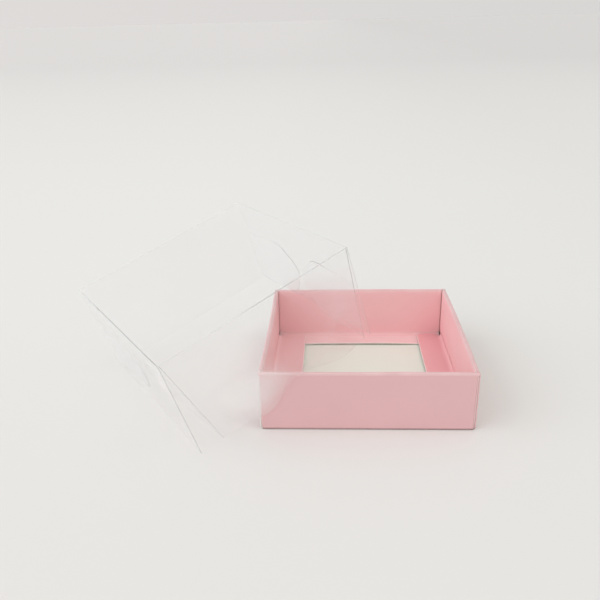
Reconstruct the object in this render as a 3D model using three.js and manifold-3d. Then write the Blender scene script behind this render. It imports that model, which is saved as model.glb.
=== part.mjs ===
// A folding presentation box: a card tray with double walls, and a deep clear film lid
// taken off and leaning on the tray's rim. Millimetres, +Z up, the tray's base centred on the origin,
// the tray's front towards -Y.
import * as THREE from "three";
import Module from "manifold-3d";

const wasm = await Module();
wasm.setup();

// Tray sizes
const TRAY_SIDE = 100;
const TRAY_HEIGHT = 30;
const CARD = 0.5;
const PLAY = 0.3;
const FOLD_RADIUS = 0.9;
const FLAP_DEPTH_FRONT = 13;
const FLAP_DEPTH_BACK = 13;
const FLAP_DEPTH_LEFT = 16;
const FLAP_DEPTH_RIGHT = 14;
const FLAP_CHAMFER = 3;
const FLAP_SET_IN = 0.2;
const INNER_WALL_CHAMFER = 1.5;
const TAB_LENGTH = 26;
const TAB_TAPER = 3;

// Lid sizes
const LID_SIDE = 102;
const LID_DEPTH = 51.8;
const FILM = 0.3;
const LID_TAB_TOP = 19.5;
const LID_TAB_CREST = 17.5;
const LID_TAB_NOSE = 30.5;
const LID_TAB_NOSE_GAP = 0.6;
const LID_TAB_SHOULDER_CUT = 16;
const LID_TAB_FOOT_CUT = 11.5;
const LID_TAB_SHORT = 1.2;
const LID_TAB_SHOULDER_ROUND = 5;
const LID_TAB_NOSE_ROUND = 8;

// Where the lid leans: its low corner on the table, and its turn about the upright
const LID_CORNER_X = -74.7;
const LID_CORNER_Y = -68.9;
const LID_TURN = THREE.MathUtils.degToRad(-53.1);

// The lid's front wall rides over the tray's front rim, which lifts its lower edge and bows it out
const PUSH_UP = 15.1;
const PUSH_UP_CENTRE = 3;
const PUSH_UP_NEAR = 24;
const PUSH_UP_FAR = 44;
const PUSH_OUT = 13.5;
const PUSH_OUT_CENTRE = 15;
const PUSH_OUT_NEAR = 50;
const PUSH_OUT_FAR = 34;
const BOW_SHARE = 0.8;
const OPEN_CORNER = 11.4;
const CLOSED_CORNER = 3.6;

// Sizes worked out from those above
const HALF = TRAY_SIDE / 2;
const TAB_FACE = CARD + PLAY;
const INNER_WALL_BACK = TAB_FACE + CARD + PLAY;
const INNER_WALL_FACE = INNER_WALL_BACK + CARD;
const WALL_TOP = TRAY_HEIGHT - CARD - PLAY;
const FIRST_FLAP = CARD + PLAY;
const SECOND_FLAP = FIRST_FLAP + CARD + PLAY;
const LID_HALF = LID_SIDE / 2;
const LID_WALL_TOP = FILM + PLAY;
const LID_TAB_LENGTH = LID_HALF - FILM - PLAY - LID_TAB_NOSE_GAP / 2;
const LID_TILT = Math.asin((TRAY_HEIGHT + PLAY) / (LID_SIDE - FILM));

const PINK = "#efb4c0";
const CREAM = "#efe9dc";
const CLEAR = "#eef1f3";

function cardMaterial(colour) {
  return new THREE.MeshStandardMaterial({ color: colour, roughness: 0.62, metalness: 0 });
}

function filmMaterial() {
  return new THREE.MeshStandardMaterial({
    color: CLEAR, roughness: 0.08, metalness: 0, transparent: true, opacity: 0.25, side: THREE.DoubleSide,
  });
}

function named(name, geometry, material) {
  const mesh = new THREE.Mesh(geometry, material);
  mesh.name = name;
  return mesh;
}

// A flat panel cut from sheet: the outline lies in X and Y, the thickness rises along Z.
function flatPanel(outline, thickness) {
  return new THREE.ExtrudeGeometry(outline, { depth: thickness, bevelEnabled: false, curveSegments: 8 });
}

// The same panel stood up: the outline's Y becomes height, the thickness runs towards -Y.
function uprightPanel(outline, thickness) {
  return flatPanel(outline, thickness).rotateX(Math.PI / 2);
}

function rectangle(x0, y0, x1, y1) {
  const shape = new THREE.Shape();
  shape.moveTo(x0, y0);
  shape.lineTo(x1, y0);
  shape.lineTo(x1, y1);
  shape.lineTo(x0, y1);
  shape.closePath();
  return shape;
}

function toManifold(geometry) {
  const bare = geometry.clone();
  bare.deleteAttribute("normal");
  bare.deleteAttribute("uv");
  const merged = mergeByPlace(bare);
  return new wasm.Manifold(new wasm.Mesh({
    numProp: 3,
    vertProperties: merged.places,
    triVerts: merged.corners,
  }));
}

// Corners that lie in one place become one vertex, which a closed solid needs.
function mergeByPlace(geometry) {
  const position = geometry.attributes.position;
  const count = geometry.index ? geometry.index.count : position.count;
  const seen = new Map();
  const places = [];
  const corners = new Uint32Array(count);
  for (let i = 0; i < count; i += 1) {
    const from = geometry.index ? geometry.index.getX(i) : i;
    const place = [position.getX(from), position.getY(from), position.getZ(from)];
    const key = place.map((value) => value.toFixed(5)).join(" ");
    if (!seen.has(key)) {
      seen.set(key, places.length / 3);
      places.push(...place);
    }
    corners[i] = seen.get(key);
  }
  return { places: new Float32Array(places), corners };
}

function fromManifold(solid) {
  const mesh = solid.getMesh();
  const geometry = new THREE.BufferGeometry();
  geometry.setAttribute("position", new THREE.BufferAttribute(new Float32Array(mesh.vertProperties), 3));
  geometry.setIndex(new THREE.BufferAttribute(new Uint32Array(mesh.triVerts), 1));
  const faceted = geometry.toNonIndexed();
  faceted.computeVertexNormals();
  return faceted;
}

function block(x0, y0, z0, x1, y1, z1) {
  const box = new THREE.BoxGeometry(x1 - x0, y1 - y0, z1 - z0);
  box.translate((x0 + x1) / 2, (y0 + y1) / 2, (z0 + z1) / 2);
  return toManifold(box);
}

// The section of an outer wall: up from the table, round the rim's fold and in to the inner crease.
function outerWallSection() {
  const turn = TRAY_HEIGHT - FOLD_RADIUS;
  const section = new THREE.Shape();
  section.moveTo(0, 0);
  section.lineTo(CARD, 0);
  section.lineTo(CARD, turn);
  section.absarc(FOLD_RADIUS, turn, FOLD_RADIUS - CARD, Math.PI, Math.PI / 2, true);
  section.lineTo(INNER_WALL_FACE, TRAY_HEIGHT - CARD);
  section.lineTo(INNER_WALL_FACE, TRAY_HEIGHT);
  section.lineTo(FOLD_RADIUS, TRAY_HEIGHT);
  section.absarc(FOLD_RADIUS, turn, FOLD_RADIUS, Math.PI / 2, Math.PI, false);
  section.closePath();
  return section;
}

// An outer wall with its rim. A long wall runs corner to corner; a short one stands between the long
// ones, and its rim stops at their rims.
function outerWall(isLong) {
  const reach = isLong ? HALF : HALF - CARD - PLAY;
  const along = new THREE.Matrix4().makeBasis(
    new THREE.Vector3(0, 1, 0), new THREE.Vector3(0, 0, 1), new THREE.Vector3(1, 0, 0));
  const wall = new THREE.ExtrudeGeometry(outerWallSection(), {
    depth: 2 * reach, bevelEnabled: false, curveSegments: 5,
  });
  wall.applyMatrix4(along);
  wall.translate(-reach, -HALF, 0);
  if (isLong) {
    return wall;
  }
  const rimReach = HALF - INNER_WALL_FACE - PLAY;
  let solid = toManifold(wall);
  for (const end of [-1, 1]) {
    const from = Math.min(end * rimReach, end * HALF);
    const to = Math.max(end * rimReach, end * HALF);
    const room = block(from, -HALF - 1, WALL_TOP, to, -HALF + INNER_WALL_FACE + 1, TRAY_HEIGHT + 1);
    solid = solid.subtract(room);
  }
  return fromManifold(solid);
}

// An inner wall: cut back at its lower corners so that it slips down between its neighbours.
function innerWall(reach, bottom) {
  const shape = new THREE.Shape();
  shape.moveTo(-reach + INNER_WALL_CHAMFER, bottom);
  shape.lineTo(reach - INNER_WALL_CHAMFER, bottom);
  shape.lineTo(reach, bottom + 2 * INNER_WALL_CHAMFER);
  shape.lineTo(reach, WALL_TOP);
  shape.lineTo(-reach, WALL_TOP);
  shape.lineTo(-reach, bottom + 2 * INNER_WALL_CHAMFER);
  shape.closePath();
  return uprightPanel(shape, CARD);
}

// A floor flap: hinged along its outer edge, its inner corners cut at a slant.
function floorFlap(reach, depth) {
  const shape = new THREE.Shape();
  shape.moveTo(-reach, 0);
  shape.lineTo(reach, 0);
  shape.lineTo(reach, depth - FLAP_CHAMFER);
  shape.lineTo(reach - FLAP_CHAMFER, depth);
  shape.lineTo(-reach + FLAP_CHAMFER, depth);
  shape.lineTo(-reach, depth - FLAP_CHAMFER);
  shape.closePath();
  return flatPanel(shape, CARD);
}

// A corner tab: joined to the end of a long wall, held between the short wall's two layers.
function cornerTab() {
  const shape = new THREE.Shape();
  shape.moveTo(0, FIRST_FLAP);
  shape.lineTo(TAB_LENGTH, FIRST_FLAP + TAB_TAPER);
  shape.lineTo(TAB_LENGTH, WALL_TOP - TAB_TAPER);
  shape.lineTo(0, WALL_TOP);
  shape.closePath();
  return uprightPanel(shape, CARD);
}

// Everything on one side of the tray, modelled on the front side and turned into place.
function traySide(name, quarterTurns, isLong, flapDepth) {
  const side = new THREE.Group();
  side.rotation.z = quarterTurns * Math.PI / 2;
  side.add(named("tray_wall_" + name, outerWall(isLong), cardMaterial(PINK)));

  const flapBase = isLong ? FIRST_FLAP : SECOND_FLAP;
  const wallReach = isLong ? HALF - INNER_WALL_BACK : HALF - INNER_WALL_FACE - PLAY;
  const inner = named("inner_wall_" + name, innerWall(wallReach, flapBase + CARD + PLAY), cardMaterial(PINK));
  inner.position.y = -HALF + INNER_WALL_FACE;
  side.add(inner);

  const flapStart = INNER_WALL_BACK + CARD / 2 + FLAP_SET_IN;
  const flap = named("floor_flap_" + name, floorFlap(wallReach - PLAY, flapDepth), cardMaterial(PINK));
  flap.position.set(0, -HALF + flapStart, flapBase);
  side.add(flap);
  return side;
}

function cornerTabs(side, names) {
  [-1, 1].forEach((end, i) => {
    const tab = named("corner_tab_" + names[i], cornerTab(), cardMaterial(PINK));
    tab.rotation.z = end > 0 ? Math.PI : 0;
    tab.position.x = end * (HALF - TAB_FACE);
    tab.position.y = -HALF + TAB_FACE + (end > 0 ? 0 : CARD);
    side.add(tab);
  });
}

function tray() {
  const group = new THREE.Group();
  const reach = HALF - CARD - PLAY;
  group.add(named("tray_floor", flatPanel(rectangle(-reach, -reach, reach, reach), CARD), cardMaterial(CREAM)));
  group.add(traySide("front", 0, true, FLAP_DEPTH_FRONT));
  const right = traySide("right", 1, false, FLAP_DEPTH_RIGHT);
  cornerTabs(right, ["front_right", "back_right"]);
  group.add(right);
  group.add(traySide("back", 2, true, FLAP_DEPTH_BACK));
  const left = traySide("left", 3, false, FLAP_DEPTH_LEFT);
  cornerTabs(left, ["back_left", "front_left"]);
  group.add(left);
  return group;
}

// A smooth hump, 1 at its centre and 0 beyond its near and far reach.
function hump(place, centre, near, far) {
  const share = Math.abs(place - centre) / (place < centre ? near : far);
  return share < 1 ? Math.cos(share * Math.PI / 2) ** 2 : 0;
}

// The middle of the lid's front wall, u along the crease from the open corner, v down from the crease.
// Its upper edge leans over with the bend, so it starts half a thickness lower than the other walls.
function frontWallPoint(u, v) {
  const top = LID_WALL_TOP + FILM / 2;
  const reach = LID_HALF - FILM - PLAY;
  const crease = -reach + u * 2 * reach;
  const edge = -reach + OPEN_CORNER + u * (2 * reach - OPEN_CORNER - CLOSED_CORNER);
  const up = PUSH_UP * hump(edge, PUSH_UP_CENTRE, PUSH_UP_NEAR, PUSH_UP_FAR);
  const out = PUSH_OUT * hump(edge, PUSH_OUT_CENTRE, PUSH_OUT_NEAR, PUSH_OUT_FAR);
  const bow = BOW_SHARE * up * 4 * v * (1 - v);
  return new THREE.Vector3(
    LID_HALF - FILM / 2 + out * v + bow,
    crease + (edge - crease) * v,
    -top + (top - LID_DEPTH + up) * v,
  );
}

// A bent sheet of one thickness, closed all round, whose middle follows a function of u and v.
function bentSheet(point, thickness, acrossSteps, downSteps) {
  const layers = [[], []];
  const step = 0.001;
  for (let i = 0; i <= acrossSteps; i += 1) {
    for (let j = 0; j <= downSteps; j += 1) {
      const u = i / acrossSteps;
      const v = j / downSteps;
      const middle = point(u, v);
      const across = point(u + step, v).sub(point(u - step, v));
      const down = point(u, v + step).sub(point(u, v - step));
      const normal = across.cross(down).normalize().multiplyScalar(thickness / 2);
      layers[0].push(middle.clone().sub(normal));
      layers[1].push(middle.clone().add(normal));
    }
  }
  const row = downSteps + 1;
  const size = (acrossSteps + 1) * row;
  const triangles = [];
  const quad = (a, b, c, d) => triangles.push(a, b, c, a, c, d);
  for (let i = 0; i < acrossSteps; i += 1) {
    for (let j = 0; j < downSteps; j += 1) {
      const a = i * row + j;
      quad(a, a + 1, a + 1 + row, a + row);
      quad(size + a, size + a + row, size + a + 1 + row, size + a + 1);
    }
  }
  for (let i = 0; i < acrossSteps; i += 1) {
    const top = i * row;
    const low = top + downSteps;
    quad(top, top + row, size + top + row, size + top);
    quad(low + row, low, size + low, size + low + row);
  }
  for (let j = 0; j < downSteps; j += 1) {
    const last = acrossSteps * row + j;
    quad(j + 1, j, size + j, size + j + 1);
    quad(last, last + 1, size + last + 1, size + last);
  }
  const geometry = new THREE.BufferGeometry().setFromPoints([...layers[0], ...layers[1]]);
  geometry.setIndex(triangles);
  geometry.computeVertexNormals();
  return geometry;
}

// Runs a shape's outline to a corner and round it, towards the corner after it.
function roundCorner(shape, corner, next, round) {
  const last = shape.currentPoint;
  const before = last.clone().sub(corner).setLength(round).add(corner);
  const after = next.clone().sub(corner).setLength(round).add(corner);
  shape.lineTo(before.x, before.y);
  shape.quadraticCurveTo(corner.x, corner.y, after.x, after.y);
}

// A lid tab: a tongue with a blunt nose, drawn from its wall's end (x = 0) with height downwards. Two
// tabs share a wall, and their noses stay apart at its middle.
function lidTabOutline() {
  const bottom = LID_TAB_SHORT - LID_DEPTH;
  const foot = new THREE.Vector2(LID_TAB_LENGTH - LID_TAB_FOOT_CUT, bottom);
  const nose = new THREE.Vector2(LID_TAB_LENGTH, -LID_TAB_NOSE);
  const shoulder = new THREE.Vector2(LID_TAB_LENGTH - LID_TAB_SHOULDER_CUT, -LID_TAB_CREST);
  const start = new THREE.Vector2(0, -LID_TAB_TOP);
  const shape = new THREE.Shape();
  shape.moveTo(0, bottom);
  roundCorner(shape, foot, nose, LID_TAB_SHOULDER_ROUND);
  roundCorner(shape, nose, shoulder, LID_TAB_NOSE_ROUND);
  roundCorner(shape, shoulder, start, LID_TAB_SHOULDER_ROUND);
  shape.lineTo(start.x, start.y);
  shape.closePath();
  return shape;
}

// A tab leaves the end of its wall and runs back behind the next wall. Where the corner has sprung open
// by a slant, the tab starts further in and comes back to that wall at its free end.
function lidTab(name, wallX, wallEnd, slant) {
  const toWall = Math.sign(wallEnd);
  const startX = Math.sign(wallX) * (Math.abs(wallX) - FILM - PLAY);
  const startY = toWall * (Math.abs(wallEnd) - FILM - PLAY - FILM / 2);
  const lean = slant / LID_DEPTH;
  const back = slant * LID_TAB_CREST / LID_DEPTH / LID_TAB_LENGTH;
  const along = new THREE.Vector3(-Math.sign(wallX), toWall * back, 0);
  const up = new THREE.Vector3(0, toWall * lean, 1);
  const through = along.clone().cross(up).normalize();
  const geometry = flatPanel(lidTabOutline(), FILM).translate(0, 0, -FILM / 2);
  geometry.applyMatrix4(new THREE.Matrix4().makeBasis(along, up, through));
  geometry.translate(startX, startY, 0);
  return named(name, geometry, filmMaterial());
}

function lid() {
  const group = new THREE.Group();
  group.rotation.set(LID_TILT, 0, LID_TURN, "ZYX");
  const lowCorner = new THREE.Vector3(LID_HALF, -LID_HALF, -LID_DEPTH).applyEuler(group.rotation);
  group.position.set(LID_CORNER_X, LID_CORNER_Y, 0).sub(lowCorner);

  const top = rectangle(-LID_HALF, -LID_HALF, LID_HALF, LID_HALF);
  const topPanel = named("lid_top", flatPanel(top, FILM), filmMaterial());
  topPanel.position.z = -FILM;
  group.add(topPanel);

  for (const [name, side] of [["lid_wall_front_left", -1], ["lid_wall_back_right", 1]]) {
    const outline = rectangle(-LID_HALF, -LID_DEPTH, LID_HALF, -LID_WALL_TOP);
    const wall = named(name, uprightPanel(outline, FILM), filmMaterial());
    wall.position.y = side < 0 ? -LID_HALF + FILM : LID_HALF;
    group.add(wall);
  }

  const reach = LID_HALF - FILM - PLAY;
  const plain = named("lid_wall_back_left", uprightPanel(
    rectangle(-reach, -LID_DEPTH, reach, -LID_WALL_TOP), FILM), filmMaterial());
  plain.rotation.z = Math.PI / 2;
  plain.position.x = -LID_HALF;
  group.add(plain);
  group.add(named("lid_wall_front_right", bentSheet(frontWallPoint, FILM, 40, 10), filmMaterial()));

  group.add(lidTab("lid_tab_left", -LID_HALF, -LID_HALF, 0));
  group.add(lidTab("lid_tab_back", -LID_HALF, LID_HALF, 0));
  group.add(lidTab("lid_tab_right", LID_HALF, LID_HALF, CLOSED_CORNER));
  group.add(lidTab("lid_tab_front", LID_HALF, -LID_HALF, OPEN_CORNER));
  return group;
}

const group = new THREE.Group();
group.add(tray(), lid());

export default group;
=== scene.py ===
"""A folded pink card tray with double walls, and its deep lid of clear film leaning on the rim.

Sizes are in millimetres until a mesh is made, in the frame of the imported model.
"""

import math

import bpy
from mathutils import Matrix, Vector, noise

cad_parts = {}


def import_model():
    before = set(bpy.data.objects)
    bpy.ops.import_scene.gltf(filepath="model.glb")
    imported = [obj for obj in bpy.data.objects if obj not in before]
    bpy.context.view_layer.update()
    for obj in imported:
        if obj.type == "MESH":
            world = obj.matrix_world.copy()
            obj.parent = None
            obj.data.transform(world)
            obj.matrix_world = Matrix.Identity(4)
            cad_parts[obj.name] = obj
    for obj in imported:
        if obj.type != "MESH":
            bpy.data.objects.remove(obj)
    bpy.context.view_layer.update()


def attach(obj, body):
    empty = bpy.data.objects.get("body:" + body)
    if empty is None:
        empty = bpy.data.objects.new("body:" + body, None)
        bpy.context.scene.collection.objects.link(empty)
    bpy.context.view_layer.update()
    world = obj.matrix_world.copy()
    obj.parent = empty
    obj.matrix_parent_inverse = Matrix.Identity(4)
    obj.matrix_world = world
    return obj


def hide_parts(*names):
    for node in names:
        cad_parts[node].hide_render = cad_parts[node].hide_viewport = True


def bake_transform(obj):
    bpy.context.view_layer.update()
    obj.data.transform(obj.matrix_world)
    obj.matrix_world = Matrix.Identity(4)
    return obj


MM = 0.001

# Tray sizes. A middle is that of one layer of card, in from the outer face or up from the table
HALF = 50.0
HEIGHT = 30.0
CARD = 0.5
WALL_MID = 0.25
CORNER_MID = 0.8
TAB_MID = 1.05
INNER_MID = 1.85
RIM_MID = 29.75
LONG_FLAP_MID = 1.05
SHORT_FLAP_MID = 1.85

# Radii of the card's folds, along the middle of the card
OUTER_FOLD = 0.65
INNER_FOLD = 0.5
BOTTOM_FOLD = 0.55
FOOT_FOLD = 2.0
CORNER_FOLD = 0.3

# How far short of the tray's corner each layer ends, and half the length of a long side's inner
# layers
LONG_RIM_CUT = 0.1
SHORT_WALL_CUT = 0.12
SHORT_RIM_CUT = 2.3
SHORT_INNER_CUT = 2.4
SHORT_FLAP_CUT = 3.0
LONG_INNER_REACH = 47.84

# Floor flaps, with the notch where a short one's crease is cut back
FLAP_START = 2.05
FLAP_DEPTH = {"front": 13.0, "back": 13.0, "left": 16.0, "right": 14.0}
FLAP_CHAMFER = 3.0
FLAP_STEPS = 13
CREASE_NOTCH = 3.4
NOTCH_FROM = 0.6
NOTCH_TO = 0.75

# Corner tabs between the short walls' two layers
TAB_LENGTH = 26.0
TAB_TAPER = 3.0
TAB_FOOT = 1.2
TAB_SHORTER = 1.4

# How the card has bent: walls bow a little, rims waver and free flap edges spring up
BOW_IN_LEFT = 0.55
BOW_OUT_RIGHT = 0.5
SIDE_FROM = 40.0
WAVER = 0.28
WAVER_SCALE = 0.035
WAVER_FROM = 2.4
LONG_FLAP_SPRING = 0.7
SHORT_FLAP_SPRING = 0.35
HELD_FROM = 34.0
SPRING_BELOW = 3.0

# Wear of the card: rubbed pale at folds and edges. Painted shade darkens the outer walls, rim and flaps,
# most at the bottom crease as a painted contact shadow. Inside the tray, what lies below FLAP_BELOW is a
# flap
FLAP_BELOW = 2.6
RIM_RUB = 0.7
RIM_TOP_RUB = 0.5
RIM_INNER_RUB = 0.9
FOOT_RUB = 0.25
LONG_FLAP_RUB = 1.1
FREE_EDGE_RUB = 2.4
PAINTED_SHADE_SHARE = 0.15
WALL_PAINTED_SHADE = 1.0
RIM_PAINTED_SHADE = 1.6
FLAP_PAINTED_SHADE = 0.6
FOOT_PAINTED_SHADOW = 3.2

# Narrow bands of mesh in the card: above the bottom crease for its painted contact shadow, below the rim,
# and at a strip's ends
FOOT_SHADOW_BAND = 0.4
RIM_BAND = 0.4
END_BAND = 0.5

# Lid sizes, and how it leans
LID_HALF = 51.0
LID_DEPTH = 51.8
FILM = 0.3
LID_FOLD = 0.3
LID_CORNER = Vector((-74.7, -68.9, 0))
LID_TURN = math.radians(-53.1)
LID_TILT = math.asin(30.3 / 101.7)
TOP_SAG = 0.7
SAG_UNEVEN = 0.6
SAG_SCALE = 0.03
WALL_BOW = {"front_left": -0.5, "back_right": 0.5, "back_left": -0.5}

# The lid's lock tabs
LID_TAB_LENGTH = 50.1
LID_TAB_TOP = 19.5
LID_TAB_CREST = 17.5
LID_TAB_NOSE = 30.5
LID_TAB_SHOULDER_CUT = 16.0
LID_TAB_FOOT_CUT = 11.5
LID_TAB_SHORT = 1.2
LID_TAB_SHOULDER_ROUND = 5.0
LID_TAB_NOSE_ROUND = 8.0
LEFT_TAB_SWING = 3.5

# The lid's wall that is bent over the tray's rim. A push is size, centre, and reach to each side
PUSH_UP = (15.1, 3.0, 20.5, 44.0)
PUSH_OUT = (13.5, 15.0, 50.0, 34.0)
BOW_SHARE = 0.8
OPEN_CORNER = 11.4
CLOSED_CORNER = 3.6

# Narrow bands of mesh that carry the film's lines, from its edges inwards, and the painted highlight
# line that lies along the low wall's crease
PLAIN_BAND = (0.35,)
TAB_BAND = (0.6,)
LOW_WALL_BANDS = (0.35, 0.6, 0.9, 1.15, 1.4)
SHEEN_LINE_FROM = 0.5
SHEEN_LINE_TO = 1.2

# The camera, fitted to the tray's corners
FOCAL_PIXELS = 656.2
FRAME_PIXELS = 600
SENSOR = 36.0
PITCH = math.radians(23.39)
ROLL = math.radians(1.48)
YAW = math.radians(3.07)
CAMERA_PLACE = Vector((-16.0, -308.2, 178.1))

# Colours, linear, and the share of its brightness that the table keeps on the right as painted shade
PINK = (0.89, 0.545, 0.555)
PINK_WORN = (0.90, 0.72, 0.71)
# Painted shade: the deeper pink of the right flap
PINK_SHADED = (0.89, 0.45, 0.47)
CREAM = (0.77, 0.79, 0.71)
CORE = (0.90, 0.85, 0.80)
# The black that painted shade and the painted contact shadow darken towards
PAINTED_SHADE_COLOUR = (0.0, 0.0, 0.0)
TABLE = (0.76, 0.76, 0.74)
# The table's front, far and right tones are painted shade
TABLE_FRONT_SHADE = (0.74, 0.73, 0.71)
TABLE_FAR_SHADE = (0.675, 0.665, 0.655)
TABLE_RIGHT_SHADE = 0.94
# The background wall, painted darker to the right as shade
WALL_LEFT = (0.737, 0.712, 0.701)
WALL_RIGHT = (0.690, 0.676, 0.662)
FILM_CLEAR = (0.88, 0.89, 0.90)
FILM_LINE = (0.36, 0.36, 0.38)
# The white of the painted sheen that stands in for the film's highlights and reflections
FILM_SHEEN_COLOUR = (0.98, 0.98, 0.98)

# Scales of the surfaces' noise, in waves to the metre, and the part of its range that patches use
MOTTLE_SCALE = 38
FIBRE_SCALE = 1500
RUB_SCALE = 110
SHEEN_SCALE = 160
CARD_GRAIN_SCALE = 1900
LAYER_SCALE = 900
HAZE_SCALE = 26
SCRATCH_SCALE = 170
LINE_SCALE = 75
GLOSS_SCALE = 60
RIPPLE_SCALE = 34
TABLE_SCALE = 700
NOISE_LOW = 0.3
NOISE_HIGH = 0.7

# Patches of the card: how dark its mottle and fibre are, how far it is rubbed, and its roughness
MOTTLE_DARKER = 0.965
FIBRE_DARKER = 0.86
FIBRE_SHARE = 0.12
RUB_PATCHES = (0.2, 0.42)
CARD_ROUGHNESS = (0.52, 0.68)

# How plainly the film shows: haze, slant, scratches, worn lines and the most of all together.
# Then how much of its shadow is left out, and its roughness
FILM_HAZE = (0.018, 0.036)
FILM_SLANT = 0.26
FILM_SCRATCH = 0.04
LINE_WEAR = (0.62, 0.85)
FILM_MOST = 0.92
SHADOW_LEFT_OUT = 0.8
FILM_ROUGHNESS = (0.05, 0.13)

# The table, in metres: half its side, how far it lies below the tray, and where its painted shade changes
TABLE_REACH = 30.0
TABLE_DROP = 0.00005
FRONT_FADE = (-0.2, 0.1)
RIGHT_FADE = (-0.15, 0.3)
FAR_FADE = (0.4, 2.6)
FAR_RIGHT_FADE = (-0.3, 0.8)

# Light. Each lamp has its name, strength, colour, softness in degrees, direction, and whether
# reflections show it. The background wall's colour is painted darker from left to right, as shade,
# between two directions
LAMPS = (
    ("window_light", 1.05, (0.96, 0.99, 1.07), 60, (1.0, 0.35, -0.6), True),
    ("front_light", 0.25, (1.0, 1.0, 1.0), 60, (0.2, 1.0, -0.9), True),
    ("ceiling_light", 0.50, (1.03, 1.0, 0.95), 35, (-0.45, 0.25, -1.0), False),
)
WORLD_COLOUR = (1.0, 0.985, 0.965)
WORLD_STRENGTH = 0.74
WALL_LEFT_AT = -0.44
WALL_RIGHT_AT = 0.34


# Shader helpers

class Nodes:
    """Short names for making and joining the nodes of a material or of the world."""

    def __init__(self, owner, out_kind="ShaderNodeOutputMaterial"):
        self.owner = owner
        owner.use_nodes = True
        self.tree = owner.node_tree
        self.tree.nodes.clear()
        self.out = self.tree.nodes.new(out_kind)

    def node(self, kind, **values):
        made = self.tree.nodes.new(kind)
        for key, value in values.items():
            if hasattr(made, key):
                setattr(made, key, value)
            else:
                made.inputs[key.replace("_", " ")].default_value = value
        return made

    def join(self, source, target):
        self.tree.links.new(source, target)

    def place(self):
        return self.node("ShaderNodeTexCoord").outputs["Object"]

    def apart(self, source):
        """The three parts of a place or direction."""
        made = self.node("ShaderNodeSeparateXYZ")
        self.join(source, made.inputs[0])
        return made.outputs

    def noise(self, scale, detail=3.0, stretch=None):
        made = self.node("ShaderNodeTexNoise", Scale=scale, Detail=detail)
        where = self.place()
        if stretch:
            mapping = self.node("ShaderNodeMapping", Scale=stretch)
            self.join(where, mapping.inputs["Vector"])
            where = mapping.outputs["Vector"]
        self.join(where, made.inputs["Vector"])
        return made.outputs["Fac"]

    def ramp(self, source, low, high, to_low=0.0, to_high=1.0):
        made = self.node("ShaderNodeMapRange")
        made.inputs["From Min"].default_value = low
        made.inputs["From Max"].default_value = high
        made.inputs["To Min"].default_value = to_low
        made.inputs["To Max"].default_value = to_high
        self.join(source, made.inputs["Value"])
        return made.outputs["Result"]

    def patches(self, scale, detail, to_low=0.0, to_high=1.0, stretch=None):
        """Soft patches of noise between two values."""
        return self.ramp(self.noise(scale, detail, stretch), NOISE_LOW, NOISE_HIGH, to_low, to_high)

    def maths(self, operation, a, b):
        made = self.node("ShaderNodeMath", operation=operation)
        for value, socket in ((a, made.inputs[0]), (b, made.inputs[1])):
            if isinstance(value, float):
                socket.default_value = value
            else:
                self.join(value, socket)
        return made.outputs[0]

    def mix_colour(self, share, a, b):
        made = self.node("ShaderNodeMix", data_type="RGBA")
        self.join(share, made.inputs[0])
        for value, socket in ((a, made.inputs[6]), (b, made.inputs[7])):
            if isinstance(value, tuple):
                socket.default_value = (*value, 1)
            else:
                self.join(value, socket)
        return made.outputs[2]

    def mix_shader(self, share, a, b):
        made = self.node("ShaderNodeMixShader")
        self.join(share, made.inputs[0])
        self.join(a.outputs[0], made.inputs[1])
        self.join(b.outputs[0], made.inputs[2])
        return made.outputs[0]

    def attribute(self, name):
        return self.node("ShaderNodeAttribute", attribute_name=name).outputs["Fac"]

    def bump(self, height, strength, distance):
        made = self.node("ShaderNodeBump", Strength=strength, Distance=distance)
        self.join(height, made.inputs["Height"])
        return made.outputs["Normal"]

    def finish(self, shader):
        self.join(shader, self.out.inputs["Surface"])
        return self.owner


def darker(colour, share):
    return tuple(value * share for value in colour)


def card_face(name, colour, worn, deep_shade, gloss):
    """One face of the card: mottled print or fibre, rubbed pale along the folds, and darkened or deepened
    in pink as painted shade.
    """
    s = Nodes(bpy.data.materials.new(name))
    fibre = s.ramp(s.noise(FIBRE_SCALE), 0.25, 0.75)
    base = s.mix_colour(s.patches(MOTTLE_SCALE, 4), darker(colour, MOTTLE_DARKER), colour)
    # Painted shade: a deeper pink on the right flap
    base = s.mix_colour(s.attribute("deep_shade"), base, deep_shade)
    base = s.mix_colour(s.maths("MULTIPLY", fibre, FIBRE_SHARE), base, darker(colour, FIBRE_DARKER))
    # Painted shade: darker towards black, most at the bottom crease as a painted contact shadow
    base = s.mix_colour(s.maths("MULTIPLY", s.attribute("painted_shade"), PAINTED_SHADE_SHARE), base, PAINTED_SHADE_COLOUR)
    rubbed = s.maths("MULTIPLY", s.attribute("fold"), s.patches(RUB_SCALE, 4, *RUB_PATCHES))
    base = s.mix_colour(s.maths("MINIMUM", rubbed, 1.0), base, worn)
    skin = s.node("ShaderNodeBsdfPrincipled")
    skin.inputs["Specular IOR Level"].default_value = gloss
    s.join(base, skin.inputs["Base Color"])
    s.join(s.patches(SHEEN_SCALE, 3, *CARD_ROUGHNESS), skin.inputs["Roughness"])
    s.join(s.bump(s.noise(CARD_GRAIN_SCALE, 4), 0.22, 0.00004), skin.inputs["Normal"])
    return s.finish(skin.outputs[0])


def card_core():
    """The cut edge of the card: pale layered fibre."""
    s = Nodes(bpy.data.materials.new("card_core"))
    layers = s.patches(LAYER_SCALE, 3, stretch=(1, 1, 5))
    skin = s.node("ShaderNodeBsdfPrincipled", Roughness=0.85)
    skin.inputs["Specular IOR Level"].default_value = 0.2
    s.join(s.mix_colour(layers, darker(CORE, FIBRE_DARKER), CORE), skin.inputs["Base Color"])
    s.join(s.bump(layers, 0.3, 0.00005), skin.inputs["Normal"])
    return s.finish(skin.outputs[0])


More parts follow.
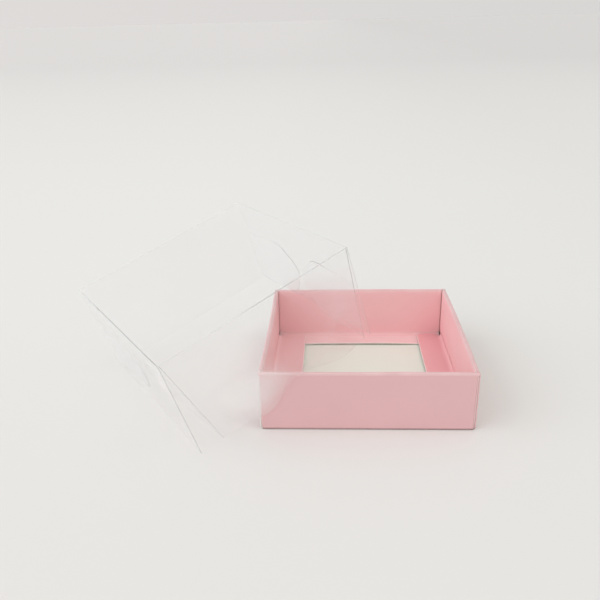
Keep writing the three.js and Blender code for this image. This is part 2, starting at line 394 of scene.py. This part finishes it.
def film_shown(s, line, painted_sheen):
    """How plainly the film shows: haze and scratches, more at a slant, most at lines and painted sheen.
    """
    facing = s.node("ShaderNodeLayerWeight", Blend=0.5).outputs["Facing"]
    slant = s.maths("POWER", facing, 3.0)
    scratch = s.ramp(s.noise(SCRATCH_SCALE, 2, (1, 14, 5)), 0.70, 0.78, 0.0, FILM_SCRATCH)
    haze = s.patches(HAZE_SCALE, 3, *FILM_HAZE)
    seen = s.maths("ADD", haze, s.maths("MULTIPLY", slant, FILM_SLANT))
    seen = s.maths("ADD", seen, scratch)
    worn_line = s.maths("MULTIPLY", line, s.patches(LINE_SCALE, 3, *LINE_WEAR))
    seen = s.maths("ADD", seen, s.maths("ADD", worn_line, painted_sheen))
    seen = s.maths("MINIMUM", seen, FILM_MOST)
    shadow = s.node("ShaderNodeLightPath").outputs["Is Shadow Ray"]
    lets_by = s.maths("MULTIPLY", shadow, SHADOW_LEFT_OUT)
    return s.maths("MULTIPLY", seen, s.maths("SUBTRACT", 1.0, lets_by))


def film_material():
    """Clear film: nearly unseen head on, glossy at a slant, with grey lines at cuts and creases, and
    whitened by a painted sheen for highlights.
    """
    s = Nodes(bpy.data.materials.new("clear_film"))
    line, painted_sheen = s.attribute("line"), s.attribute("painted_sheen")
    seen = film_shown(s, line, painted_sheen)
    skin = s.node("ShaderNodeBsdfPrincipled", Metallic=0.5)
    tint = s.mix_colour(line, FILM_CLEAR, FILM_LINE)
    # The painted sheen whitens the film
    sheen_share = s.maths("MINIMUM", s.maths("MULTIPLY", painted_sheen, 8.0), 1.0)
    s.join(s.mix_colour(sheen_share, tint, FILM_SHEEN_COLOUR), skin.inputs["Base Color"])
    s.join(s.patches(GLOSS_SCALE, 3, *FILM_ROUGHNESS), skin.inputs["Roughness"])
    s.join(s.bump(s.noise(RIPPLE_SCALE, 2), 0.25, 0.0006), skin.inputs["Normal"])
    clear = s.node("ShaderNodeBsdfTransparent")
    return s.finish(s.mix_shader(seen, clear, skin))


def table_material():
    """The pale table, painted with shade: a little darker in front, far off and to the right."""
    s = Nodes(bpy.data.materials.new("table_top"))
    place = s.apart(s.place())
    front = s.mix_colour(s.ramp(place["Y"], *FRONT_FADE), TABLE_FRONT_SHADE, TABLE)
    near = s.mix_colour(s.ramp(place["X"], *RIGHT_FADE), front, darker(TABLE, TABLE_RIGHT_SHADE))
    far_right = darker(TABLE_FAR_SHADE, TABLE_RIGHT_SHADE)
    far = s.mix_colour(s.ramp(place["X"], *FAR_RIGHT_FADE), TABLE_FAR_SHADE, far_right)
    base = s.mix_colour(s.ramp(place["Y"], *FAR_FADE), near, far)
    grain = s.maths("MULTIPLY", s.patches(TABLE_SCALE, 3), 0.04)
    base = s.mix_colour(grain, base, darker(TABLE, 0.9))
    skin = s.node("ShaderNodeBsdfPrincipled", Roughness=0.6)
    skin.inputs["Specular IOR Level"].default_value = 0.2
    s.join(base, skin.inputs["Base Color"])
    return s.finish(skin.outputs[0])


# Mesh helpers

def smooth(value, low, high):
    """From 0 at the low value to 1 at the high one, with a soft start and end."""
    share = min(1.0, max(0.0, (value - low) / (high - low)))
    return share * share * (3 - 2 * share)


def grid_normals(points):
    rows, columns = len(points), len(points[0])
    normals = []
    for i in range(rows):
        line = []
        for j in range(columns):
            down = points[min(i + 1, rows - 1)][j] - points[max(i - 1, 0)][j]
            across = points[i][min(j + 1, columns - 1)] - points[i][max(j - 1, 0)]
            line.append(across.cross(down).normalized())
        normals.append(line)
    return normals


def sheet_faces(rows, columns):
    """Faces of a closed sheet whose two sides are grids, each with its material's number."""
    size = rows * columns
    faces = []
    for i in range(rows - 1):
        for j in range(columns - 1):
            a = i * columns + j
            b, c, d = a + columns, a + columns + 1, a + 1
            faces.append(((a, d, c, b), 0))
            faces.append(((size + a, size + b, size + c, size + d), 1))
    for top in range(columns - 1):
        low = size - columns + top
        faces.append(((top + 1, top, size + top, size + top + 1), 2))
        faces.append(((low, low + 1, size + low + 1, size + low), 2))
    for i in range(rows - 1):
        start, end = i * columns, i * columns + columns - 1
        faces.append(((start, start + columns, size + start + columns, size + start), 2))
        faces.append(((end + columns, end, size + end, size + end + columns), 2))
    return faces


def sheet(name, points, thickness, materials, marks):
    """A closed sheet round a grid of middle points: face one, face two, then the cut edges.

    Marks holds a grid of values for each named attribute that the material reads.
    """
    normals = grid_normals(points)
    vertices = []
    for side in (1, -1):
        for row, row_normals in zip(points, normals):
            for point, normal in zip(row, row_normals):
                vertices.append(tuple((point + normal * side * thickness / 2) * MM))
    faces = sheet_faces(len(points), len(points[0]))
    mesh = bpy.data.meshes.new(name)
    mesh.from_pydata(vertices, [], [corners for corners, number in faces])
    mesh.polygons.foreach_set("material_index", [number for corners, number in faces])
    for material in materials:
        mesh.materials.append(material)
    for mark, grid in marks.items():
        values = [value for line in grid for value in line] * 2
        mesh.attributes.new(mark, "FLOAT", "POINT").data.foreach_set("value", values)
    for polygon in mesh.polygons:
        polygon.use_smooth = polygon.material_index < 2
    mesh.update()
    piece = bpy.data.objects.new(name, mesh)
    bpy.context.scene.collection.objects.link(piece)
    return piece


def arc(centre, radius, start, end, steps=6):
    """Points of an arc in the section's plane, its angles in degrees."""
    found = []
    for k in range(steps + 1):
        angle = math.radians(start + (end - start) * k / steps)
        found.append((centre[0] + radius * math.cos(angle), centre[1] + radius * math.sin(angle)))
    return found


def straight(start, end, steps):
    """Points after start, up to and with end."""
    found = []
    for k in range(1, steps + 1):
        found.append(tuple(a + (b - a) * k / steps for a, b in zip(start, end)))
    return found


def spread(reach, band, steps):
    """Places from -reach to reach, with a narrow band at each end."""
    inner = reach - band
    middle = [-inner + 2 * inner * k / steps for k in range(steps + 1)]
    return [-reach, *middle, reach]


# The card tray

TURN = {"front": 0, "right": 1, "back": 2, "left": 3}


def bowed(p):
    """The whole tray's slight warp: side walls bow along their length, rims rise and fall a little."""
    along = max(0.0, 1 - (p.y / HALF) ** 2)
    share = max(0.0, p.z / HEIGHT) * along
    if p.x < -SIDE_FROM:
        p.x += BOW_IN_LEFT * share
    elif p.x > SIDE_FROM:
        p.x += BOW_OUT_RIGHT * share
    if p.z > WAVER_FROM:
        ripple = noise.noise(Vector((p.x * WAVER_SCALE, p.y * WAVER_SCALE, 3.1)))
        p.z += WAVER * ripple * p.z / HEIGHT
    return p


def placed(side, along, depth, height):
    """A point of one side, given along the wall, in from its outer face, and up."""
    turn = TURN[side] * math.pi / 2
    x, y = along, -HALF + depth
    return bowed(Vector((x * math.cos(turn) - y * math.sin(turn),
                         x * math.sin(turn) + y * math.cos(turn), height)))


def card_strip(name, side, rows, materials, steps=36):
    """A strip of card on one side of the tray. Each row is depth, height, half length and rubbing."""
    points, folds, painted_shade, deep_shade = [], [], [], []
    for depth, height, reach, fold in without_doubles(rows):
        points.append([placed(side, x, depth, height) for x in spread(reach, END_BAND, steps)])
        folds.append([fold] * len(points[-1]))
        # Each row's painted shade and its painted deeper pink
        painted_shade.append([painted_shade_at(depth, height)] * len(points[-1]))
        deep_shade.append([painted_deeper(side, depth, height)] * len(points[-1]))
    return sheet(name, points, CARD, materials, {"fold": folds, "painted_shade": painted_shade, "deep_shade": deep_shade})


def without_doubles(rows):
    """Leaves out a row at the place of the row before it, which would turn the surface over."""
    kept = [rows[0]]
    for row in rows[1:]:
        if abs(row[0] - kept[-1][0]) + abs(row[1] - kept[-1][1]) > 0.01:
            kept.append(row)
    return kept


def painted_shade_at(depth, height):
    """Painted shade: darkest along the bottom crease as a contact shadow, then the rim, the outer walls
    and the flaps; none on the inner walls.
    """
    is_outer = depth < WALL_MID + OUTER_FOLD
    if is_outer and height < WALL_MID + BOTTOM_FOLD + 0.01:
        return FOOT_PAINTED_SHADOW
    if height > RIM_MID - OUTER_FOLD + 0.05 and depth < INNER_MID:
        return RIM_PAINTED_SHADE
    if is_outer:
        return WALL_PAINTED_SHADE
    return FLAP_PAINTED_SHADE if height < FLAP_BELOW else 0.0


def painted_deeper(side, depth, height):
    """The right flap's pink is painted deeper, as shade."""
    return 1.0 if side == "right" and height < FLAP_BELOW and depth > INNER_MID else 0.0


def with_reach(section, reach, fold=0.0):
    return [(depth, height, reach, fold) for depth, height in section]


def outer_rows(is_long):
    """From the floor's edge round the bottom fold, up the outer wall and over the rim."""
    foot = WALL_MID + BOTTOM_FOLD
    turn = RIM_MID - OUTER_FOLD
    wall = HALF - CORNER_MID - CORNER_FOLD if is_long else HALF - SHORT_WALL_CUT
    rim = HALF - LONG_RIM_CUT if is_long else HALF - SHORT_RIM_CUT
    # The band above the bottom fold carries the painted contact shadow
    shadow_top = (WALL_MID, foot + FOOT_SHADOW_BAND)
    rim_start = (WALL_MID + OUTER_FOLD, RIM_MID)
    rim_end = (INNER_MID - INNER_FOLD, RIM_MID)
    rows = with_reach(arc((foot, foot), BOTTOM_FOLD, 270, 180), min(HALF - foot, wall))
    rows += with_reach(straight((WALL_MID, foot), shadow_top, 1), wall)
    rows += with_reach(straight(shadow_top, (WALL_MID, turn - RIM_BAND), 12), wall)
    rows += with_reach(arc((WALL_MID + OUTER_FOLD, turn), OUTER_FOLD, 180, 90), rim, RIM_RUB)
    rows += with_reach(straight(rim_start, rim_end, 1), rim, RIM_TOP_RUB)
    return rows


def inner_rows(reach, flap_mid):
    """Round the inner crease of the rim and down the inner wall."""
    turn = RIM_MID - INNER_FOLD
    foot = flap_mid + FOOT_FOLD
    rows = with_reach(arc((INNER_MID - INNER_FOLD, turn), INNER_FOLD, 90, 0, 5), reach, RIM_INNER_RUB)
    rows += with_reach(straight((INNER_MID, turn), (INNER_MID, foot), 12), reach)
    return rows


def flap_rows(reach, flap_mid, depth, spring=0.0, notch=0.0, rubbed=0.0):
    """Round the foot crease and out over the floor, cut back at the crease and at the free corners."""
    foot = INNER_MID + FOOT_FOLD
    end = FLAP_START + depth
    crease = arc((foot, flap_mid + FOOT_FOLD), FOOT_FOLD, 180, 270)
    rows = with_reach(crease, reach - notch, FOOT_RUB)
    if notch:
        rows.append((foot + NOTCH_FROM, flap_mid, reach - notch, 0.0))
        rows.append((foot + NOTCH_TO, flap_mid, reach, 0.0))
    start = rows[-1][0]
    for k in range(1, FLAP_STEPS + 1):
        share = min(1.0, k / (FLAP_STEPS - 0.4))
        place = start + (end - start) * share
        cut = max(0.0, place - (end - FLAP_CHAMFER))
        rub = FREE_EDGE_RUB if k == FLAP_STEPS else rubbed
        rows.append((place, flap_mid + spring * share ** 2, reach - cut, rub))
    return rows


def lift_flap_middle(piece, lift):
    """The free edge of a long flap stands up between the side flaps that hold its ends."""
    for vertex in piece.data.vertices:
        x, y, z = (value / MM for value in vertex.co)
        inward = (HALF - FLAP_START - abs(y)) / FLAP_DEPTH["back"]
        if z < SPRING_BELOW and inward > 0.1:
            hold = max(0.0, 1 - (x / HELD_FROM) ** 4)
            vertex.co.z += lift * inward ** 2 * hold * MM


def long_side(side, card):
    """The front or back wall: one strip, because its inner wall and flap are held in."""
    rows = outer_rows(True) + inner_rows(LONG_INNER_REACH, LONG_FLAP_MID)
    rows += flap_rows(LONG_INNER_REACH, LONG_FLAP_MID, FLAP_DEPTH[side], rubbed=LONG_FLAP_RUB)
    piece = card_strip("card_side_" + side, side, rows, card)
    lift_flap_middle(piece, LONG_FLAP_SPRING)
    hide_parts("tray_wall_" + side, "inner_wall_" + side, "floor_flap_" + side)
    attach(piece, "tray")


def short_side(side, card):
    """The left or right wall: its inner wall and flap unfold, each blended across its crease."""
    pink, cream, core = card
    # The right wall's cut edges take the pink face, not the pale core, as painted shade
    edge = core if side == "left" else pink
    outer = card_strip("card_side_" + side, side, outer_rows(False), [pink, cream, edge])
    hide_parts("tray_wall_" + side)
    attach(outer, "tray")

    rows = inner_rows(HALF - SHORT_INNER_CUT, SHORT_FLAP_MID)
    inner = card_strip("card_inner_wall_" + side, side, rows, card)
    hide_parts("inner_wall_" + side)
    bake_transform(inner)

    rows = flap_rows(HALF - SHORT_FLAP_CUT, SHORT_FLAP_MID, FLAP_DEPTH[side],
                     SHORT_FLAP_SPRING, CREASE_NOTCH)
    flap = card_strip("card_floor_flap_" + side, side, rows, card)
    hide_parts("floor_flap_" + side)
    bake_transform(flap)


def corner_tab(long, short, card):
    """Turns the corner from the end of a long wall and runs on between a short wall's two layers."""
    across = 1 if short == "right" else -1
    front = 1 if long == "front" else -1
    corner = HALF - CORNER_MID - CORNER_FOLD
    start = HALF - WALL_MID - CORNER_FOLD
    steps = 6
    bend = [math.pi / 2 * k / steps for k in range(steps + 1)]
    path = [(corner + CORNER_FOLD * math.sin(a), start + CORNER_FOLD * math.cos(a)) for a in bend]
    path += [(HALF - TAB_MID, start - TAB_LENGTH * k / steps) for k in range(1, steps + 1)]
    points, marks = [], []
    for k, (x, y) in enumerate(path):
        taper = TAB_TAPER * max(0, k - steps) / steps
        tall = RIM_MID - TAB_SHORTER - 2 * taper
        heights = [TAB_FOOT + taper + tall * h / 8 for h in range(9)]
        points.append([bowed(Vector((across * x, -front * y, z))) for z in heights])
        marks.append([1.0 if k <= steps else 0.0] * len(heights))
    if across * front > 0:
        points.reverse()
        marks.reverse()
    piece = sheet(f"card_tab_{long}_{short}", points, CARD, card, {"fold": marks})
    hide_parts(f"corner_tab_{long}_{short}")
    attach(piece, "tray")


def floor_panel(card):
    places = spread(HALF - WALL_MID - BOTTOM_FOLD, 1.0, 30)
    points = [[Vector((x, y, WALL_MID)) for x in places] for y in places]
    marks = [[0.0] * len(places) for _ in places]
    piece = sheet("card_floor", points, CARD, card, {"fold": marks})
    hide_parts("tray_floor")
    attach(piece, "tray")


# The film lid. In its own frame the top lies at height 0 and the walls hang down from it

def lid_matrix():
    """Turns and tilts the lid about its lowest corner, which stands on the table."""
    turn = Matrix.Rotation(LID_TURN, 4, "Z") @ Matrix.Rotation(LID_TILT, 4, "X")
    low = turn @ Vector((LID_HALF, -LID_HALF, -LID_DEPTH))
    return Matrix.Translation(LID_CORNER - low) @ turn


LID = lid_matrix()


def film_piece(name, points, lines, painted_sheens, film, node):
    placed_points = [[LID @ p for p in line] for line in points]
    piece = sheet(name, placed_points, FILM, [film] * 3, {"line": lines, "painted_sheen": painted_sheens})
    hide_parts(node)
    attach(piece, "lid")


def crease_strength(edge, share):
    """How plainly a top crease shows, along its length from 0 to 1."""
    if edge == "front_left":
        return 0.3 * smooth(share, 0.02, 0.08) + 0.4 * smooth(share, 0.0, 0.3)
    if edge == "front_right":
        return 0.16 + 0.44 * smooth(share, 0.35, 0.5) - 0.2 * smooth(share, 0.6, 0.75)
    return 0.0


def top_mark(x, y, drop_x, drop_y):
    """A crease shows as a fine grey line where the film bends."""
    if not max(drop_x, drop_y):
        return 0.0
    if drop_x >= drop_y:
        edge = "front_right" if x > 0 else "back_left"
        return crease_strength(edge, (y + LID_HALF) / (2 * LID_HALF))
    edge = "front_left" if y < 0 else "back_right"
    return crease_strength(edge, (x + LID_HALF) / (2 * LID_HALF))


def top_sag(x, y, flat):
    """How far the top hangs down, most in its middle."""
    sag = TOP_SAG * max(0.0, 1 - (x / flat) ** 2) * max(0.0, 1 - (y / flat) ** 2)
    return sag * (1 + SAG_UNEVEN * noise.noise(Vector((x * SAG_SCALE, y * SAG_SCALE, 0.7))))


def lid_top(film):
    """The flat top with its four rounded creases. The corners stay square, as creased film's do."""
    flat = LID_HALF - LID_FOLD
    steps = 36
    bend = [(LID_FOLD * math.sin(a), LID_FOLD * (1 - math.cos(a)))
            for a in (math.pi / 6, math.pi / 3, math.pi / 2)]
    places = [(-flat - out, drop) for out, drop in reversed(bend)]
    places += [(-flat + 2 * flat * k / steps, 0.0) for k in range(steps + 1)]
    places += [(flat + out, drop) for out, drop in bend]
    points, lines = [], []
    for y, drop_y in places:
        points.append([Vector((x, y, -FILM / 2 - max(drop_x, drop_y) - top_sag(x, y, flat)))
                       for x, drop_x in places])
        lines.append([top_mark(x, y, drop_x, drop_y) for x, drop_x in places])
    painted_sheens = [[0.0] * len(places) for _ in places]
    film_piece("film_top", points, lines, painted_sheens, film, "lid_top")


def banded(length, steps, bands=PLAIN_BAND):
    """Shares of a length, with narrow bands at each end."""
    first = bands[-1]
    inner = [first + (length - 2 * first) * k / steps for k in range(1, steps)]
    last = [length - band for band in reversed(bands)]
    return [place / length for place in [0, *bands, *inner, *last, length]]


def border_mark(i, j, rows, columns, strength):
    """Strength gives the mark of the grid's first row, last row, first column and last column."""
    found = 0.0
    for on_border, value in zip((i == 0, i == rows - 1, j == 0, j == columns - 1), strength):
        if on_border:
            found = max(found, value)
    return found


def no_painted_sheen(u, v):
    return 0.0


def even(u, v):
    return 1.0


def fading_down(u, v):
    """The raised end's cut edges show less over the tray than above it."""
    return 1 - 0.65 * smooth(v, 0.35, 0.55)


def film_panel(name, point, size, strength, film, steps=(30, 14), painted_sheen=no_painted_sheen, shown=even,
               bands=PLAIN_BAND):
    """A wall or tab from a function of two shares, along and down.

    Strength is that of the lines on its first and last end, its upper edge and its lower edge.
    """
    us, vs = banded(size[0], steps[0]), banded(size[1], steps[1], bands)
    points = [[point(u, v) for v in vs] for u in us]
    painted_sheens = [[painted_sheen(u, v) for v in vs] for u in us]
    lines = []
    for i, u in enumerate(us):
        lines.append([border_mark(i, j, len(us), len(vs), strength) * shown(u, v)
                      for j, v in enumerate(vs)])
    film_piece("film_" + name, points, lines, painted_sheens, film, "lid_" + name)


def flat_wall(side, reach):
    """A flat wall of the lid, with the slight bow of free film, as a function of two shares."""
    def point(u, v):
        along = -reach + 2 * reach * u
        down = -LID_FOLD + (LID_FOLD - LID_DEPTH) * v
        uneven = 1 + noise.noise(Vector((u * 3, v * 2, reach)))
        out = LID_HALF - FILM / 2 + WALL_BOW[side] * math.sin(math.pi * u) * v * uneven
        return {
            "front_left": Vector((along, -out, down)),
            "back_right": Vector((-along, out, down)),
            "back_left": Vector((-out, -along, down)),
        }[side]
    return point


def hump(place, size, centre, near, far):
    """A soft swelling about a centre, with its own reach to each side."""
    share = abs(place - centre) / (near if place < centre else far)
    return size * math.cos(share * math.pi / 2) ** 2 if share < 1 else 0.0


def bent_wall(u, v):
    """The wall that rides over the tray's rim: its lower edge is lifted and bowed out."""
    top = LID_FOLD + FILM / 2
    reach = LID_HALF - 2 * FILM
    crease = -reach + u * 2 * reach
    edge = -reach + OPEN_CORNER + u * (2 * reach - OPEN_CORNER - CLOSED_CORNER)
    up = hump(edge, *PUSH_UP)
    out = hump(edge, *PUSH_OUT)
    bow = BOW_SHARE * up * 4 * v * (1 - v)
    return Vector((LID_HALF - FILM / 2 + out * v + bow, crease + (edge - crease) * v,
                   -top + (top - LID_DEPTH + up) * v))


def rounded(before, corner, after, size, steps=12):
    """Points of a corner rounded by a smooth curve, from a size before it to a size after it."""
    start = corner + (before - corner).normalized() * size
    end = corner + (after - corner).normalized() * size
    found = []
    for t in (k / steps for k in range(steps + 1)):
        found.append(start * (1 - t) ** 2 + corner * 2 * t * (1 - t) + end * t ** 2)
    return found


def tab_profiles():
    """The upper and lower outline of a lid tab, each from the wall's end to the tip of its blunt nose."""
    bottom = LID_TAB_SHORT - LID_DEPTH
    top_start, low_start = Vector((0, -LID_TAB_TOP)), Vector((0, bottom))
    foot = Vector((LID_TAB_LENGTH - LID_TAB_FOOT_CUT, bottom))
    nose = Vector((LID_TAB_LENGTH, -LID_TAB_NOSE))
    shoulder = Vector((LID_TAB_LENGTH - LID_TAB_SHOULDER_CUT, -LID_TAB_CREST))
    outline = [top_start, *rounded(top_start, shoulder, nose, LID_TAB_SHOULDER_ROUND),
               *rounded(shoulder, nose, foot, LID_TAB_NOSE_ROUND),
               *rounded(nose, foot, low_start, LID_TAB_SHOULDER_ROUND), low_start]
    tip = max(range(len(outline)), key=lambda k: outline[k].x)
    return outline[:tip + 1], outline[tip:][::-1]


def height_at(profile, x):
    for a, b in zip(profile, profile[1:]):
        if x <= b.x:
            return a.y + (b.y - a.y) * (x - a.x) / (b.x - a.x)
    return profile[-1].y


def bunched(u):
    """Places along a tab lie closer together towards its nose."""
    return 1 - (1 - u) ** 2


def tab_point(wall_x, wall_y, slant, swing):
    """A lid tab as a function of two shares: along from its wall's end, and down.

    Slant is how far its wall's end has sprung, and swing how far its lower end has twisted away
    from the wall that it hangs behind.
    """
    upper, lower = tab_profiles()
    reach = upper[-1].x - 0.02
    start_x = math.copysign(LID_HALF - 2 * FILM, wall_x)
    to_wall = math.copysign(1, wall_y)
    start_y = to_wall * (LID_HALF - 2.5 * FILM)
    lean = slant / LID_DEPTH
    back = slant * LID_TAB_CREST / LID_DEPTH / LID_TAB_LENGTH

    def point(u, v):
        along = reach * bunched(u)
        top, low = height_at(upper, along), height_at(lower, along)
        z = top + (low - top) * v
        twist = (-z - LID_TAB_CREST) / (LID_DEPTH - LID_TAB_CREST)
        away = swing * along / LID_TAB_LENGTH * twist
        return Vector((start_x - math.copysign(along, wall_x),
                       start_y + to_wall * (back * along + lean * z - away), z))
    return point


def nose_shown(faint, from_share):
    """A tab's outline shows best round its nose, and faintly beside its wall."""
    def shown(u, v):
        return faint + (1 - faint) * smooth(bunched(u), from_share, from_share + 0.35)
    return shown


def crest_shown(u, v):
    """The right tab's outline shows only along the crest of its upper edge."""
    return smooth(bunched(u), 0.25, 0.6) * (1 - smooth(bunched(u), 0.72, 0.85))


def lid_tab(name, wall_x, wall_y, slant, strength, shown, film, swing=0.0):
    size = (LID_TAB_LENGTH, LID_DEPTH - LID_TAB_TOP - LID_TAB_SHORT)
    film_panel(name, tab_point(wall_x, wall_y, slant, swing), size, strength, film,
               steps=(34, 10), shown=shown, bands=TAB_BAND)


def bent_painted_sheen(u, v):
    """Where the wall is pressed over the tray's rim, a painted white sheen stands in for the film's
    reflection.
    """
    down = smooth(v, 0.45, 0.7) * (1 - 0.8 * smooth(v, 0.8, 1.0))
    return 0.34 * down * hump(u, 1.0, 0.27, 0.27, 0.2)


def bent_shown(u, v):
    """The bent wall's cut edge fades on the raised end only."""
    return fading_down(u, v) if u > 0.5 else 1.0


def low_wall_painted_sheen(u, v):
    """A painted white highlight on the low wall beside its free corner, and a fine painted highlight line
    along its crease.
    """
    on_line = SHEEN_LINE_FROM < v * LID_DEPTH < SHEEN_LINE_TO
    line = 0.45 * smooth(0.62 - u, 0.0, 0.15) if on_line else 0.0
    end = smooth(u, 0.84, 0.94) * (1 - smooth(u, 0.975, 0.995))
    return line + 0.3 * end * smooth(0.45 - v, 0.0, 0.2) * smooth(v, 0.02, 0.1)


def flat_walls(film):
    """Each flat wall has its reach, its lines' strength, its painted sheen, where lines show, and its
    bands.
    """
    walls = {
        "front_left": (LID_HALF, (0.0, 0.7, 0.0, 0.05), low_wall_painted_sheen, even, LOW_WALL_BANDS),
        "back_right": (LID_HALF, (0.5, 0.0, 0.0, 0.05), no_painted_sheen, fading_down, PLAIN_BAND),
        "back_left": (LID_HALF - 2 * FILM, (0.0, 0.0, 0.0, 0.03), no_painted_sheen, even, PLAIN_BAND),
    }
    for side, (reach, strength, painted_sheen, shown, bands) in walls.items():
        film_panel("wall_" + side, flat_wall(side, reach), (2 * reach, LID_DEPTH), strength, film,
                   painted_sheen=painted_sheen, shown=shown, bands=bands)


def lid(film):
    """The top, three flat walls, the bent wall, and a tab at each end of two opposite walls."""
    lid_top(film)
    flat_walls(film)
    film_panel("wall_front_right", bent_wall, (2 * LID_HALF, LID_DEPTH), (0.8, 0.8, 0.0, 0.06), film,
               steps=(60, 20), painted_sheen=bent_painted_sheen, shown=bent_shown)
    lid_tab("tab_left", -1, -1, 0, (0.0, 0.9, 0.3, 0.8), nose_shown(0.0, 0.6), film, LEFT_TAB_SWING)
    lid_tab("tab_back", -1, 1, 0, (0.0, 0.8, 0.8, 0.4), nose_shown(0.06, 0.5), film)
    lid_tab("tab_right", 1, 1, CLOSED_CORNER, (0.0, 0.0, 0.8, 0.1), crest_shown, film)
    lid_tab("tab_front", 1, -1, OPEN_CORNER, (0.0, 0.15, 0.2, 0.05), nose_shown(0.5, 0.5), film)


# Stage, light and camera

def stage():
    """A table that reaches far past the picture, a hair below the tray."""
    reach = TABLE_REACH
    corners = [(-reach, -reach, 0), (reach, -reach, 0), (reach, reach, 0), (-reach, reach, 0)]
    mesh = bpy.data.meshes.new("table")
    mesh.from_pydata(corners, [], [(0, 1, 2, 3)])
    mesh.materials.append(table_material())
    table = bpy.data.objects.new("table", mesh)
    bpy.context.scene.collection.objects.link(table)
    table.location.z = -TABLE_DROP


def sun(name, strength, colour, softness, direction, in_gloss):
    lamp = bpy.data.lights.new(name, "SUN")
    lamp.energy = strength
    lamp.color = colour
    lamp.angle = math.radians(softness)
    holder = bpy.data.objects.new(name, lamp)
    bpy.context.scene.collection.objects.link(holder)
    holder.rotation_mode = "QUATERNION"
    holder.rotation_quaternion = Vector(direction).to_track_quat("-Z", "Y")
    holder.visible_glossy = in_gloss


def world():
    """Soft light from all round, and a pale wall where the background itself is seen, painted darker to
    the right as shade.
    """
    s = Nodes(bpy.data.worlds.new("studio"), "ShaderNodeOutputWorld")
    soft = s.node("ShaderNodeBackground", Color=(*WORLD_COLOUR, 1), Strength=WORLD_STRENGTH)
    shown = s.node("ShaderNodeBackground")
    direction = s.apart(s.node("ShaderNodeTexCoord").outputs["Generated"])
    across = s.ramp(direction["X"], WALL_LEFT_AT, WALL_RIGHT_AT)
    s.join(s.mix_colour(across, WALL_LEFT, WALL_RIGHT), shown.inputs["Color"])
    path = s.node("ShaderNodeLightPath").outputs
    seen = s.maths("MAXIMUM", path["Is Camera Ray"], path["Is Glossy Ray"])
    seen = s.maths("MAXIMUM", seen, path["Is Transmission Ray"])
    bpy.context.scene.world = s.finish(s.mix_shader(seen, soft, shown))


def camera():
    """The fitted camera: pitched down, turned and rolled a little."""
    level = Vector((-math.sin(YAW), math.cos(YAW), 0))
    right = Vector((math.cos(YAW), math.sin(YAW), 0))
    ahead = level * math.cos(PITCH) + Vector((0, 0, -math.sin(PITCH)))
    down = ahead.cross(right)
    across = right * math.cos(ROLL) + down * math.sin(ROLL)
    lower = down * math.cos(ROLL) - right * math.sin(ROLL)
    data = bpy.data.cameras.new("photo_camera")
    data.sensor_width = SENSOR
    data.lens = FOCAL_PIXELS / FRAME_PIXELS * SENSOR
    data.clip_start = 0.01
    data.clip_end = 100
    holder = bpy.data.objects.new("photo_camera", data)
    bpy.context.scene.collection.objects.link(holder)
    turn = Matrix((across, -lower, -ahead)).transposed().to_4x4()
    holder.matrix_world = Matrix.Translation(CAMERA_PLACE * MM) @ turn
    bpy.context.scene.camera = holder


def tray():
    """The card's materials, and every piece folded from it."""
    pink = card_face("card_pink_face", PINK, PINK_WORN, PINK_SHADED, gloss=0.45)
    cream = card_face("card_cream_back", CREAM, CORE, CREAM, gloss=0.2)
    core = card_core()
    card = [pink, cream, core]
    for long in ("front", "back"):
        long_side(long, card)
        for short in ("left", "right"):
            corner_tab(long, short, card)
    for short in ("left", "right"):
        short_side(short, card)
    floor_panel([cream, pink, core])


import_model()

tray()
lid(film_material())
stage()
world()
for lamp_values in LAMPS:
    sun(*lamp_values)
camera()
scene = bpy.context.scene
scene.view_settings.view_transform = "Standard"
scene.cycles.transparent_max_bounces = 32
